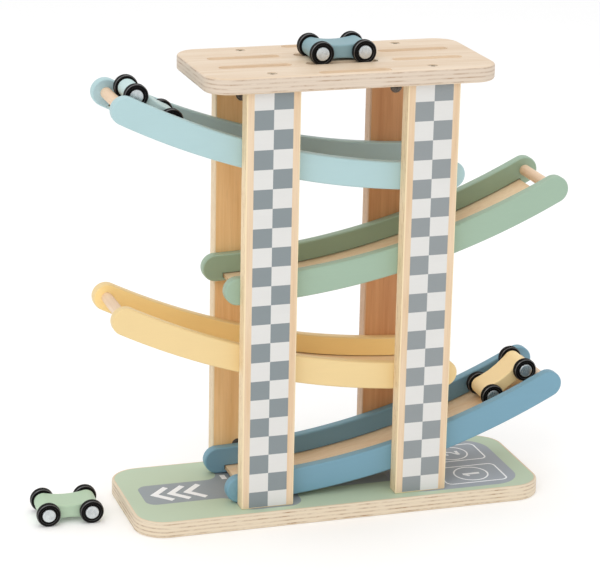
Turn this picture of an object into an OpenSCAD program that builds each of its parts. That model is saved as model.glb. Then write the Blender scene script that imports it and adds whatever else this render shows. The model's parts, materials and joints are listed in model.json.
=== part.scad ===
// Wooden click clack track: a base board, four posts and a top board carry four curved ramps,
// stacked so that each one starts below the end of the one above it. Four small cars run on it.
// The origin is the centre of the base board's underside, X is along the ramps and Z is up.

/* [Boards] */
// Length of the base board
base_l = 317; // [300:1:340]
// Depth of the base board
base_d = 111; // [106:1:130]
// Thickness of the base board
base_t = 12; // [9:0.5:18]
// Corner radius of the base board
base_corner = 22.5; // [8:0.5:40]
// Length of the top board
top_l = 218; // [205:1:240]
// Depth of the top board
top_d = 104; // [100:1:120]
// Thickness of the top board
top_t = 12; // [9:0.5:18]
// Corner radius of the top board
top_corner = 18; // [8:0.5:30]

/* [Posts] */
// Width of a post along the ramps
post_w = 40; // [36:1:48]
// Thickness of a post
post_t = 12; // [11:0.5:14]
// Height of a post
post_h = 314; // [308:1:360]
// Distance between the centres of the left and right posts
post_spacing = 120; // [112:1:128]
// Rounding of a post's upright edges
post_edge = 1; // [0.5:0.1:2]

/* [Ramps] */
// Radius of the rails' underside
ramp_r = 567; // [550:1:600]
// Distance of each ramp's lowest point from the middle of the track
ramp_offset = 89; // [84:0.5:93]
// How much closer to the middle of the track the lowest ramp's lowest point is
low_ramp_shift = 3; // [0:0.1:4]
// Height from one ramp to the next
ramp_pitch = 76.9; // [73:0.1:78]
// Height of the lowest ramp above the base board
ramp_lift = 0.6; // [0.5:0.1:3]
// Angle from a ramp's lowest point to the middle of its high end
high_angle = 27; // [25.5:0.1:28]
// Angle from a ramp's lowest point to the middle of its low end
low_angle = 0.85; // [0.5:0.05:1.1]
// Height of a rail
rail_h = 20.5; // [19.5:0.1:23]
// Thickness of a rail
rail_t = 8; // [7.5:0.1:9.5]
// Clear width between the two rails of a ramp
channel_w = 52; // [48:0.5:55]
// Thickness of a ramp's floor
floor_t = 3; // [2.5:0.1:3.6]
// Height of the floor's underside above the rails' underside
floor_lift = 2.5; // [1.8:0.1:3]
// Depth that the floor is let into each rail
floor_seat = 3; // [2:0.1:3.4]
// Gap between the floor's high end and the stop rod
floor_rod_gap = 2.4; // [2:0.1:5]
// Distance from the middle of a rail's low end to the floor's low end
floor_low_inset = 5.9; // [4:0.1:8]
// Diameter of the stop rod
rod_d = 8.4; // [6.2:0.1:9]
// Depth that the stop rod is let into each rail
rod_seat = 4; // [3:0.1:5]

/* [Fasteners] */
// Diameter of the dowels between rails and posts
pin_d = 5; // [4:0.1:6]
// Depth of a dowel in a post
pin_in_post = 7; // [5:0.1:8.5]
// Depth of a dowel in a rail
pin_in_rail = 4.5; // [3:0.1:5]
// Distance of the dowels from the middle of a post
pin_offset = 12; // [11:0.1:13.5]
// Diameter of the bolts
bolt_d = 4; // [3:0.1:5]
// Diameter of the bolts' heads
bolt_head_d = 7; // [6:0.1:9.5]
// Height of the bolts' heads
bolt_head_h = 2.2; // [1.8:0.1:3]
// Width of the hex socket in a bolt's head
bolt_socket_w = 3.4; // [2.5:0.1:4.5]
// Depth of a bolt's head below the board's face
bolt_sink = 0.6; // [0.3:0.1:2]
// Diameter of the barrel nuts
nut_d = 9; // [8:0.1:10]
// Distance of the barrel nuts from the ends of the posts
nut_inset = 20; // [16:0.5:24]

/* [Parking grooves] */
// Length of a groove
groove_l = 54; // [52:0.5:57]
// Width of a groove
groove_w = 9; // [8:0.1:11]
// Distance between the groups of grooves
groove_pitch = 65; // [62:0.5:69]
// Wood left between the outer middle grooves and the edge of the top board
groove_margin = 2.5; // [1.5:0.1:4]

/* [Cars] */
// Distance between a car's axles
wheelbase = 32; // [30:0.2:34]
// Distance between the middles of a car's left and right wheels
gauge = 30; // [28:0.2:32]
// Diameter of a wheel
wheel_d = 17.7; // [16.6:0.1:18]
// Width of a wheel
wheel_w = 5.2; // [4.6:0.1:6]
// Rounding of a wheel's edges
wheel_edge = 1.3; // [0.6:0.1:1.8]
// Diameter of a car body's round ends
body_end_d = 13.4; // [13:0.1:14.1]
// Thickness of a car body at its waist
waist_t = 9.8; // [9:0.1:11.6]
// Diameter of an axle
axle_d = 3; // [2.4:0.1:3.6]
// Diameter of an axle cap
cap_d = 9.8; // [9:0.1:11.2]
// Depth of the recess that an axle cap sits in
cap_recess = 2; // [1.6:0.1:2.6]
// Height of an axle cap above the wheel's face
cap_stand = 0.4; // [0.2:0.05:0.8]

/* [Where the cars stand] */
// Tilt of the car that is parked against the stop rod of the top ramp
top_ramp_car_tilt = 12; // [6:0.1:12.4]
// Tilt of the car that is parked against the stop rod of the lowest ramp
low_ramp_car_tilt = 11.5; // [6:0.1:12.4]
// Distance of the car on the lowest ramp from the middle of its channel
low_ramp_car_side = 2; // [-5:0.1:5]
// Distance of the car on the top board from the middle of its grooves
top_car_side = -1.5; // [-1.5:0.1:1.5]
// Gap between the base board and the car on the ground
ground_car_gap = 17; // [10:0.5:40]
// Distance of the car on the ground from the middle of the base board
ground_car_side = 3.6; // [-20:0.1:20]
// Turn of the car on the ground
ground_car_turn = -2.5; // [-10:0.5:10]

/* [Hidden] */

$fn = 64;
// Facets in a full turn of the ramps' large arcs
arc_fn = 720;
// How far each cut runs past the face that it opens
overrun = 1;
// Radial clearance of a shaft in its bore
shaft_fit = 0.05;
// Clearance of a wooden piece in its slot, hole or recess
seat_fit = 0.1;
// Clearance of a wheel from what it rolls on, and of an axle cap from its wheel
wheel_gap = 0.3;
// Clearance of a parked car's body from the top board
park_gap = 0.4;
// Clearance between a wheel and the side of its car
wheel_side_gap = 0.4;
// Length of a bolt past its barrel nut
bolt_end = 2;
// Wood left behind a barrel nut
nut_back = 2;
// Width and depth of the screwdriver slot in a barrel nut
nut_slot_w = 1.4;
nut_slot_depth = 1.2;
// Metal left outside the end of an axle in its cap
cap_skin = 0.7;
// Height of the hex socket's floor above the underside of a bolt's head
socket_floor = 0.6;
// Shoulder left beside a rail's round end
rail_end_step = 0.05;

RAMP_COUNT = 4;
LEFT = -1;
RIGHT = 1;
FRONT = -1;
REAR = 1;

wood = [0.90, 0.79, 0.63];
ply = [0.93, 0.84, 0.70];
steel = [0.78, 0.78, 0.76];
zinc = [0.62, 0.58, 0.52];
black = [0.09, 0.09, 0.10];
printed_green = [0.70, 0.80, 0.70];
ramp_colours = [[0.73, 0.84, 0.85], [0.65, 0.76, 0.66], [0.95, 0.85, 0.63], [0.47, 0.63, 0.70]];
car_colours = [[0.73, 0.84, 0.85], [0.95, 0.85, 0.63], [0.47, 0.63, 0.70], [0.65, 0.76, 0.66]];

top_z = base_t + post_h;
post_face_y = channel_w / 2 + rail_t;
post_y = post_face_y + post_t / 2;
pin_x = post_spacing / 2 + pin_offset;
nut_l = post_t - nut_back;

rail_mid_r = ramp_r - rail_h / 2;
floor_under_r = ramp_r - floor_lift;
floor_top_r = floor_under_r - floor_t;
floor_high_angle = high_angle - asin((rod_d / 2 + floor_rod_gap) / floor_top_r);
floor_low_angle = low_angle + asin(floor_low_inset / floor_top_r);
slot_play_angle = asin(seat_fit / floor_top_r);

wheel_r = wheel_d / 2;
wheel_face_y = gauge / 2 + wheel_w / 2;
body_w = gauge - wheel_w - 2 * wheel_side_gap;
cap_inner_y = wheel_face_y - cap_recess + wheel_gap;
cap_outer_y = wheel_face_y + cap_stand;
axle_l = 2 * (cap_outer_y - cap_skin);
end_r = body_end_d / 2;
waist_sag = end_r - waist_t / 2;
groove_depth = wheel_gap + wheel_r - end_r - park_gap;
waist_r = (pow(wheelbase / 2, 2) + pow(waist_sag, 2)) / (2 * waist_sag);

// Odd ramps start at the left, even ramps at the right
function high_side(ramp) = ramp % 2 == 1 ? LEFT : RIGHT;
function arc_x(ramp) = -high_side(ramp) * (ramp_offset - (ramp == RAMP_COUNT ? low_ramp_shift : 0));
function arc_z(ramp) = base_t + ramp_lift + (RAMP_COUNT - ramp) * ramp_pitch + ramp_r;
function pin_z(ramp, x) = arc_z(ramp) - sqrt(pow(rail_mid_r, 2) - pow(x - arc_x(ramp), 2));

// Where a parked car stands: its front wheels on the floor and its rear wheels against the stop rod.
// Angles are taken from the ramp's lowest point, round the axis of its arc.
axle_arc_r = floor_top_r - wheel_gap - wheel_r;
rod_reach = wheel_r + rod_d / 2 + wheel_gap;
flat_pitch = asin(wheelbase / 2 / axle_arc_r);
function rear_x(tilt) = wheelbase * cos(flat_pitch + tilt);
function rear_z(tilt) = axle_arc_r - wheelbase * sin(flat_pitch + tilt);
function rear_r(tilt) = norm([rear_x(tilt), rear_z(tilt)]);
function rod_lag(tilt) =
  acos((pow(rear_r(tilt), 2) + pow(rail_mid_r, 2) - pow(rod_reach, 2)) / (2 * rear_r(tilt) * rail_mid_r));
function front_angle(tilt) = high_angle - rod_lag(tilt) - atan2(rear_x(tilt), rear_z(tilt));
function car_pitch(tilt) = front_angle(tilt) + flat_pitch + tilt;

module rounded_rect(size, r) {
  square([size.x - 2 * r, size.y], center = true);
  square([size.x, size.y - 2 * r], center = true);
  for (sx = [-1, 1], sy = [-1, 1])
    translate([sx * (size.x / 2 - r), sy * (size.y / 2 - r)])
      circle(r);
}

// A straight rod along Y, from y0 to y1
module rod_y(r, y0, y1) {
  translate([0, y0, 0])
    rotate([-90, 0, 0])
      cylinder(r = r, h = y1 - y0);
}

// Turns a 2D profile of radius and height about Y, from one angle to another.
// An angle of zero points along X, and a quarter turn along Z.
module turn_about_y(from, to) {
  rotate([90, 0, 0])
    rotate([0, 0, from])
      rotate_extrude(angle = to - from)
        children();
}

// Puts a ramp's own frame in place: the axis of its arc along Y, its high end towards X
module at_ramp(ramp) {
  translate([arc_x(ramp), 0, arc_z(ramp)])
    rotate([0, 0, high_side(ramp) == RIGHT ? 0 : 180])
      children();
}

// Puts a frame on the ramp's arc, at the given radius and angle
module on_arc(r, angle) {
  translate([r * sin(angle), 0, -r * cos(angle)])
    children();
}

// A rail from the side, in its ramp's own frame: a stretch of a ring with round ends
module rail_outline() {
  high_end = [sin(high_angle), -cos(high_angle)];
  low_end = [sin(low_angle), -cos(low_angle)];
  intersection() {
    difference() {
      circle(ramp_r, $fn = arc_fn);
      circle(ramp_r - rail_h, $fn = arc_fn);
    }
    polygon([[0, 0], 2 * ramp_r * low_end, 2 * ramp_r * high_end]);
  }
  for (end = [low_end, high_end])
    translate(rail_mid_r * end)
      circle(rail_h / 2 - rail_end_step);
}

module rail(ramp, side) {
  own_side = side * high_side(ramp);
  inner_y = own_side * channel_w / 2;
  difference() {
    at_ramp(ramp)
      difference() {
        translate([0, own_side * (channel_w + rail_t) / 2, 0])
          rotate([90, 0, 0])
            linear_extrude(rail_t, center = true)
              rail_outline();
        turn_about_y(floor_low_angle - slot_play_angle - 90, floor_high_angle + slot_play_angle - 90,
                     $fn = arc_fn)
          translate([floor_top_r - seat_fit, -inner_y - floor_seat - seat_fit])
            square([floor_t + 2 * seat_fit, 2 * (floor_seat + seat_fit)]);
        on_arc(rail_mid_r, high_angle)
          rod_y(rod_d / 2 + shaft_fit, inner_y - rod_seat - seat_fit, inner_y + rod_seat + seat_fit);
      }
    for (sx = [LEFT, RIGHT])
      translate([sx * pin_x, side * post_face_y, pin_z(ramp, sx * pin_x)])
        rod_y(pin_d / 2 + shaft_fit, -pin_in_rail - seat_fit, pin_in_rail + seat_fit);
  }
}

module ramp_floor(ramp) {
  at_ramp(ramp)
    turn_about_y(floor_low_angle - 90, floor_high_angle - 90, $fn = arc_fn)
      translate([floor_top_r, -channel_w / 2 - floor_seat])
        square([floor_t, channel_w + 2 * floor_seat]);
}

module stop_rod(ramp) {
  at_ramp(ramp)
    on_arc(rail_mid_r, high_angle)
      rod_y(rod_d / 2, -channel_w / 2 - rod_seat, channel_w / 2 + rod_seat);
}

// A bolt with the top of its head at the origin and its shank down
module bolt(board_t) {
  shank_l = board_t - bolt_sink - bolt_head_h + nut_inset + nut_d / 2 + bolt_end;
  difference() {
    translate([0, 0, -bolt_head_h])
      cylinder(d = bolt_head_d, h = bolt_head_h);
    translate([0, 0, socket_floor - bolt_head_h])
      cylinder(d = bolt_socket_w, h = bolt_head_h, $fn = 6);
  }
  translate([0, 0, -bolt_head_h - shank_l])
    cylinder(d = bolt_d, h = shank_l);
}

module bolt_hole(board_t) {
  translate([0, 0, -bolt_sink - bolt_head_h - seat_fit])
    cylinder(r = bolt_head_d / 2 + seat_fit, h = bolt_sink + bolt_head_h + seat_fit + overrun);
  translate([0, 0, -board_t - overrun])
    cylinder(r = bolt_d / 2 + seat_fit, h = board_t + overrun);
}

module at_posts() {
  for (sx = [LEFT, RIGHT], sy = [FRONT, REAR])
    translate([sx * post_spacing / 2, sy * post_y, 0])
      children();
}

module groove() {
  reach = groove_l / 2 - groove_w / 2;
  translate([0, 0, -groove_depth])
    linear_extrude(groove_depth + overrun) {
      square([2 * reach, groove_w], center = true);
      for (sx = [-1, 1])
        translate([sx * reach, 0])
          circle(d = groove_w);
    }
}

module board(l, d, t, corner) {
  linear_extrude(t)
    rounded_rect([l, d], corner);
}

module post(sx, sy) {
  bolt_room = nut_inset + nut_d / 2 + bolt_end + seat_fit;
  difference() {
    translate([sx * post_spacing / 2, sy * post_y, base_t])
      linear_extrude(post_h)
        rounded_rect([post_w, post_t], post_edge);
    translate([sx * post_spacing / 2, sy * post_y, 0]) {
      translate([0, 0, base_t - overrun])
        cylinder(r = bolt_d / 2 + seat_fit, h = bolt_room + overrun);
      translate([0, 0, top_z - bolt_room])
        cylinder(r = bolt_d / 2 + seat_fit, h = bolt_room + overrun);
    }
    for (z = [base_t + nut_inset, top_z - nut_inset])
      translate([sx * post_spacing / 2, sy * post_face_y, z])
        rod_y(nut_d / 2 + seat_fit, sy == FRONT ? -nut_l - seat_fit : -overrun,
              sy == FRONT ? overrun : nut_l + seat_fit);
    for (ramp = [1 : RAMP_COUNT])
      translate([sx * pin_x, sy * post_face_y, pin_z(ramp, sx * pin_x)])
        rod_y(pin_d / 2 + shaft_fit, -pin_in_post - seat_fit, pin_in_post + seat_fit);
  }
}

// A barrel nut with its open end at the origin, along Y away from the track's middle
module barrel_nut(sy) {
  difference() {
    rod_y(nut_d / 2, sy == FRONT ? -nut_l : 0, sy == FRONT ? 0 : nut_l);
    translate([0, sy * post_t / 2, -nut_d])
      cylinder(r = bolt_d / 2 + shaft_fit, h = 2 * nut_d);
    cube([nut_d + overrun, 2 * nut_slot_depth, nut_slot_w], center = true);
  }
}

// A car's own frame has its origin between the axles, its front towards minus X and Y across it
module at_axle(end) {
  translate([end == "front" ? -wheelbase / 2 : wheelbase / 2, 0, 0])
    children();
}

module at_car(car) {
  if (car == 1)
    parked(1, top_ramp_car_tilt, 0)
      children();
  else if (car == 2)
    parked(RAMP_COUNT, low_ramp_car_tilt, low_ramp_car_side)
      children();
  else if (car == 3)
    translate([0, top_car_side, top_z + top_t - groove_depth + wheel_gap + wheel_r])
      children();
  else
    translate([-base_l / 2 - ground_car_gap - wheel_r - wheelbase / 2, ground_car_side, wheel_r])
      rotate([0, 0, ground_car_turn])
        children();
}

module parked(ramp, tilt, side) {
  at_ramp(ramp)
    on_arc(axle_arc_r, front_angle(tilt))
      translate([0, side, 0])
        rotate([0, -car_pitch(tilt), 0])
          translate([wheelbase / 2, 0, 0])
            children();
}

// A car's body from the side: two round ends and a waist hollowed from above and below
module car_outline() {
  for (sx = [-1, 1])
    translate([sx * wheelbase / 2, 0])
      circle(end_r);
  difference() {
    square([wheelbase - 2 * waist_sag, body_end_d], center = true);
    for (sz = [-1, 1])
      translate([0, sz * (waist_r + waist_t / 2)])
        circle(waist_r, $fn = arc_fn);
  }
}

module car_body(car) {
  color(car_colours[car - 1])
    at_car(car)
      difference() {
        rotate([90, 0, 0])
          linear_extrude(body_w, center = true)
            car_outline();
        for (end = ["front", "rear"])
          at_axle(end)
            rod_y(axle_d / 2 + shaft_fit, -body_w / 2 - overrun, body_w / 2 + overrun);
      }
}

module axle(car, end) {
  color(steel)
    at_car(car)
      at_axle(end)
        rod_y(axle_d / 2, -axle_l / 2, axle_l / 2);
}

// Two caps on the ends of an axle, each turned from a profile of radius and distance along the axle
module axle_caps(car, end) {
  cap_edge = cap_stand / 2;
  color(steel)
    at_car(car)
      at_axle(end)
        for (sy = [-1, 1])
          rotate([sy * -90, 0, 0])
            rotate_extrude()
              difference() {
                union() {
                  translate([0, cap_inner_y])
                    square([cap_d / 2, cap_outer_y - cap_inner_y - cap_edge]);
                  translate([0, cap_inner_y])
                    square([cap_d / 2 - cap_edge, cap_outer_y - cap_inner_y]);
                  translate([cap_d / 2 - cap_edge, cap_outer_y - cap_edge])
                    circle(cap_edge, $fn = 32);
                }
                translate([-overrun, 0])
                  square([overrun + axle_d / 2 + shaft_fit, axle_l / 2 + shaft_fit]);
              }
}

module wheels(car, end) {
  color(black)
    at_car(car)
      at_axle(end)
        for (sy = [-1, 1])
          rotate([sy * -90, 0, 0])
            rotate_extrude()
              difference() {
                translate([0, gauge / 2])
                  rounded_rect([wheel_d, wheel_w], wheel_edge, $fn = 32);
                translate([-wheel_d, gauge / 2 - wheel_w])
                  square([wheel_d + axle_d / 2 + shaft_fit, 2 * wheel_w]);
                translate([0, wheel_face_y - cap_recess])
                  square([cap_d / 2 + wheel_gap, cap_recess + overrun]);
              }
}

module base_board() {
  color(printed_green)
    difference() {
      board(base_l, base_d, base_t, base_corner);
      at_posts()
        rotate([180, 0, 0])
          bolt_hole(base_t);
    }
}

module top_board() {
  outer_row_y = top_d / 2 - groove_margin - groove_w / 2;
  color(ply)
    translate([0, 0, top_z])
      difference() {
        board(top_l, top_d, top_t, top_corner);
        translate([0, 0, top_t]) {
          at_posts()
            bolt_hole(top_t);
          for (x = [-groove_pitch, 0, groove_pitch], sy = [-1, 1])
            translate([x, sy * gauge / 2, 0])
              groove();
          for (sy = [-1, 1])
            translate([0, sy * outer_row_y, 0])
              groove();
        }
      }
}

module front_left_post() { color(wood) post(LEFT, FRONT); }
module front_right_post() { color(wood) post(RIGHT, FRONT); }
module rear_left_post() { color(wood) post(LEFT, REAR); }
module rear_right_post() { color(wood) post(RIGHT, REAR); }

module ramp_1_front_rail() { color(ramp_colours[0]) rail(1, FRONT); }
module ramp_1_rear_rail() { color(ramp_colours[0]) rail(1, REAR); }
module ramp_1_floor() { color(ply) ramp_floor(1); }
module ramp_1_stop_rod() { color(wood) stop_rod(1); }
module ramp_2_front_rail() { color(ramp_colours[1]) rail(2, FRONT); }
module ramp_2_rear_rail() { color(ramp_colours[1]) rail(2, REAR); }
module ramp_2_floor() { color(ply) ramp_floor(2); }
module ramp_2_stop_rod() { color(wood) stop_rod(2); }
module ramp_3_front_rail() { color(ramp_colours[2]) rail(3, FRONT); }
module ramp_3_rear_rail() { color(ramp_colours[2]) rail(3, REAR); }
module ramp_3_floor() { color(ply) ramp_floor(3); }
module ramp_3_stop_rod() { color(wood) stop_rod(3); }
module ramp_4_front_rail() { color(ramp_colours[3]) rail(4, FRONT); }
module ramp_4_rear_rail() { color(ramp_colours[3]) rail(4, REAR); }
module ramp_4_floor() { color(ply) ramp_floor(4); }
module ramp_4_stop_rod() { color(wood) stop_rod(4); }

module rail_pins() {
  color(wood)
    for (ramp = [1 : RAMP_COUNT], sx = [LEFT, RIGHT], sy = [FRONT, REAR])
      translate([sx * pin_x, sy * post_face_y, pin_z(ramp, sx * pin_x)])
        rod_y(pin_d / 2, sy == FRONT ? -pin_in_post : -pin_in_rail,
              sy == FRONT ? pin_in_rail : pin_in_post);
}

module top_bolts() {
  color(steel)
    at_posts()
      translate([0, 0, top_z + top_t - bolt_sink])
        bolt(top_t);
}

module base_bolts() {
  color(steel)
    at_posts()
      translate([0, 0, bolt_sink])
        rotate([180, 0, 0])
          bolt(base_t);
}

module barrel_nuts() {
  color(zinc)
    for (sx = [LEFT, RIGHT], sy = [FRONT, REAR], z = [base_t + nut_inset, top_z - nut_inset])
      translate([sx * post_spacing / 2, sy * post_face_y, z])
        barrel_nut(sy);
}

module car_1_body() { car_body(1); }
module car_1_front_axle() { axle(1, "front"); }
module car_1_rear_axle() { axle(1, "rear"); }
module car_1_front_caps() { axle_caps(1, "front"); }
module car_1_rear_caps() { axle_caps(1, "rear"); }
module car_1_front_wheels() { wheels(1, "front"); }
module car_1_rear_wheels() { wheels(1, "rear"); }
module car_2_body() { car_body(2); }
module car_2_front_axle() { axle(2, "front"); }
module car_2_rear_axle() { axle(2, "rear"); }
module car_2_front_caps() { axle_caps(2, "front"); }
module car_2_rear_caps() { axle_caps(2, "rear"); }
module car_2_front_wheels() { wheels(2, "front"); }
module car_2_rear_wheels() { wheels(2, "rear"); }
module car_3_body() { car_body(3); }
module car_3_front_axle() { axle(3, "front"); }
module car_3_rear_axle() { axle(3, "rear"); }
module car_3_front_caps() { axle_caps(3, "front"); }
module car_3_rear_caps() { axle_caps(3, "rear"); }
module car_3_front_wheels() { wheels(3, "front"); }
module car_3_rear_wheels() { wheels(3, "rear"); }
module car_4_body() { car_body(4); }
module car_4_front_axle() { axle(4, "front"); }
module car_4_rear_axle() { axle(4, "rear"); }
module car_4_front_caps() { axle_caps(4, "front"); }
module car_4_rear_caps() { axle_caps(4, "rear"); }
module car_4_front_wheels() { wheels(4, "front"); }
module car_4_rear_wheels() { wheels(4, "rear"); }

base_board();
top_board();
front_left_post();
front_right_post();
rear_left_post();
rear_right_post();
ramp_1_front_rail();
ramp_1_rear_rail();
ramp_1_floor();
ramp_1_stop_rod();
ramp_2_front_rail();
ramp_2_rear_rail();
ramp_2_floor();
ramp_2_stop_rod();
ramp_3_front_rail();
ramp_3_rear_rail();
ramp_3_floor();
ramp_3_stop_rod();
ramp_4_front_rail();
ramp_4_rear_rail();
ramp_4_floor();
ramp_4_stop_rod();
rail_pins();
top_bolts();
base_bolts();
barrel_nuts();
car_1_body();
car_1_front_axle();
car_1_rear_axle();
car_1_front_caps();
car_1_rear_caps();
car_1_front_wheels();
car_1_rear_wheels();
car_2_body();
car_2_front_axle();
car_2_rear_axle();
car_2_front_caps();
car_2_rear_caps();
car_2_front_wheels();
car_2_rear_wheels();
car_3_body();
car_3_front_axle();
car_3_rear_axle();
car_3_front_caps();
car_3_rear_caps();
car_3_front_wheels();
car_3_rear_wheels();
car_4_body();
car_4_front_axle();
car_4_rear_axle();
car_4_front_caps();
car_4_rear_caps();
car_4_front_wheels();
car_4_rear_wheels();
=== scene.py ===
"""Looks of a wooden click clack track: printed boards and posts, painted ramps and four small cars."""

import json
import math

import bmesh
import bpy
from mathutils import Matrix, Vector


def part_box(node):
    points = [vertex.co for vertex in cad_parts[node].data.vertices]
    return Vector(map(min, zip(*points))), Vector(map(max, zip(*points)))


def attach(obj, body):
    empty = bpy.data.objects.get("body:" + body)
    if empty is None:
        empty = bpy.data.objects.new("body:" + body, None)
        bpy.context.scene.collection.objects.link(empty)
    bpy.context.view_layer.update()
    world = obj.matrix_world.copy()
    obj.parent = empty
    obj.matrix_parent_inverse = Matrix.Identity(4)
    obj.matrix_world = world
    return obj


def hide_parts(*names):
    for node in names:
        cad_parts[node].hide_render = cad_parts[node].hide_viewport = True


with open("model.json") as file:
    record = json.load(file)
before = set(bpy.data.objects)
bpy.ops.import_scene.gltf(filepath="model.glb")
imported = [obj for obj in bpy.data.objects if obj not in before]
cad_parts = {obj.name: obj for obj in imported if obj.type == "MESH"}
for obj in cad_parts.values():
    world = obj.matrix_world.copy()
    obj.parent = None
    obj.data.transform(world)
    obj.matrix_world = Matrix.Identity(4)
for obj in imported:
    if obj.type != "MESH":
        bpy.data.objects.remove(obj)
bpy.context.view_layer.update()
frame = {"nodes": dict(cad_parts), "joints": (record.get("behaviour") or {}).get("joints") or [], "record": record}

bl_info = {
    "name": "Click clack track",
    "version": (1, 0, 0),
    "blender": (4, 5, 0),
    "location": "3D View > Sidebar > Track",
    "description": "Builds the printed boards, painted ramps and small cars of a wooden car track",
    "category": "Object",
}

MM = 0.001
RAMPS = (1, 2, 3, 4)
CARS = (1, 2, 3, 4)
POSTS = ("front_left_post", "front_right_post", "rear_left_post", "rear_right_post")
JOINTS = {joint["name"]: joint for joint in frame["joints"]}
BODIES = frame["record"]["behaviour"]["bodies"]
PAINT_OF_RAMP = {1: "pale_blue", 2: "green", 3: "yellow", 4: "blue"}
PAINT_OF_CAR = {1: "car_pale_blue", 2: "car_yellow", 3: "car_blue", 4: "car_green"}
# The rear posts' inner faces take warmer pine tones, darker and redder on the rear right post: painted shade with
# warm bounce light, on the rear right post partly a redder wood.
SHADED_PINE_OF_POST = {"rear_left_post": "rear_pine", "rear_right_post": "red_pine"}


def mm(*values):
    """Lengths given in millimetres, as metres."""
    return tuple(value * MM for value in values)


# Print on the base board, where edges are left, front, right and back
ROAD_EDGES = mm(-144.5, -20.2, 80.0, 17.0)
CROSSING_EDGES = mm(-80.0, -47.6, -31.2, 48.5)
ROAD_END, CROSSING_INNER, CROSSING_OUTER = mm(8.0, 10.0, 12.0)
PAD_EDGES = mm(46.0, -47.4, 144.0, 45.8)
PAD_CORNER = 21.0 * MM
PAD_INK = 1.04
ARROW_TIPS = mm(-138.2, -125.4, -112.8)
ARROW_MIDDLE = -2.0 * MM
ARROW_REACH, ARROW_ARM, ARROW_STROKE = mm(13.3, 13.8, 6.4)
DASH_LEFT, DASH_RIGHT, DASH_LENGTH = mm(-77.5, -73.5, 8.0)
DASH_FRONTS = mm(15.5, 29.5)
BAY_EDGES = (mm(84.7, -40.0, 135.1, -5.8), mm(84.7, 4.3, 135.1, 37.8))
BAY_CORNER = 5.5 * MM
RING_CENTRES = (mm(110.4, -22.4), mm(110.4, 21.0))
RING_RADIUS = 13.7 * MM
LINE = 1.3 * MM
FIGURE_HEIGHT = 13.5 * MM

# Places on the boards and rows on the posts
BOLT_PLACES = [(x, y) for x in mm(-60, 60) for y in mm(-40, 40)]
GROOVE_PLACES = [(x, y) for x in mm(-65, 0, 65) for y in mm(-15, 15)] + [(0.0, y) for y in mm(-45, 45)]
CHECK_ROWS = 22

# Material slots of the boards, the posts, the rails and the wheels
BOARD_FACE, BOARD_EDGE, BOARD_CUT = range(3)
POST_WOOD, POST_WHITE, POST_GREY, POST_EDGE, POST_CUT, POST_MARGIN = range(6)
# The rails' channel slot takes a coat with painted light and shade in it.
RAIL_OUTSIDE, RAIL_CHANNEL_PAINTED_LIGHT = range(2)
WHEEL_MATT, WHEEL_RING = range(2)

# Tolerances, limits of normals and margins of the mesh work
MERGE_GAP = 2e-6
RAIL_END_GAP = 1e-5
HALF_SECTION_GAP = 2e-5
SLIVER = 1e-7
CUT_SLIVER = 4e-6
SAME_PLANE = 1e-6
LEVEL = 1e-7
SQUARE_ON = 0.99
ROUNDED_OVER = 0.55
FACING = 0.9
RING_LEAST, RING_MOST = 0.55, 0.85
FLAT_WEIGHT = 100
SMOOTH_ANGLE = math.radians(40)
RIM_ANGLE = math.radians(50)
CUT_RIM_ANGLE = math.radians(60)
CUT_RIM = 0.35 * MM
CUTTER_HEIGHT = 10.0 * MM
BORE_LENGTH = 30.0 * MM
SLOT_MARGIN = 0.1 * MM
ACROSS = Matrix.Rotation(math.radians(90), 4, "X")

# Turns that lay a pattern made along X, or stacked along Z, in another direction
ALONG_X = (0.0, 0.0, 0.0)
ALONG_Y = (0.0, 0.0, math.radians(90))
ALONG_Z = (0.0, math.radians(90), 0.0)
STACKED_ALONG_Y = (math.radians(90), 0.0, 0.0)

# Depth of every relief, roughness of every coat, and the place of the glue line in a ply
RELIEF = 0.05 * MM
COAT_ROUGHNESS = 0.3
GLUE_LINE = 0.6

# Stage, in metres and watts, with the lens and the sensor in millimetres
LIGHTS = {
    "Key": {"place": (-1.7, -2.2, 2.3), "aim": (0.0, 0.0, 0.15), "size": 1.6, "power": 20.0},
    "Fill": {"place": (2.2, -1.6, 1.2), "aim": (0.0, 0.0, 0.15), "size": 1.8, "power": 1.5},
    "Top": {"place": (0.0, 0.2, 2.6), "aim": (0.0, 0.0, 0.1), "size": 2.0, "power": 13.0},
}
WHITE = (1.0, 1.0, 1.0, 1.0)
SKY_STRENGTH = 0.83
FLOOR_REACH = 20.0
FLOOR_COLOUR = (0.98, 0.98, 0.98)
FLOOR_GLOW = 0.07
CAMERA_PLACE = Vector((-0.55044, -1.62090, 0.70417))
CAMERA_RIGHT = Vector((0.95272, -0.30321, 0.01977))
CAMERA_UP = Vector((0.07375, 0.29388, 0.95299))
CAMERA_BACK = Vector((-0.29477, -0.90647, 0.30235))
CAMERA_LENS = 144.684
CAMERA_SENSOR = 36.0
CAMERA_FAR = 60.0


def srgb(red, green, blue):
    """A colour as scene-linear values, from the 0 to 255 steps of a colour picker."""
    def linear(step):
        share = step / 255
        return share / 12.92 if share <= 0.04045 else ((share + 0.055) / 1.055) ** 2.4
    return linear(red), linear(green), linear(blue)


def length(label, about, millimetres):
    """A property that holds a length."""
    return bpy.props.FloatProperty(name=label, description=about, default=millimetres * MM, unit="LENGTH",
                                   precision=5)


def angle(label, about, degrees):
    """A property that holds an angle."""
    return bpy.props.FloatProperty(name=label, description=about, default=math.radians(degrees),
                                   subtype="ANGLE")


def colour(label, about, *steps):
    """A property that holds a colour."""
    return bpy.props.FloatVectorProperty(name=label, description=about, default=srgb(*steps), subtype="COLOR",
                                         size=3, min=0.0, max=1.0)


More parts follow.
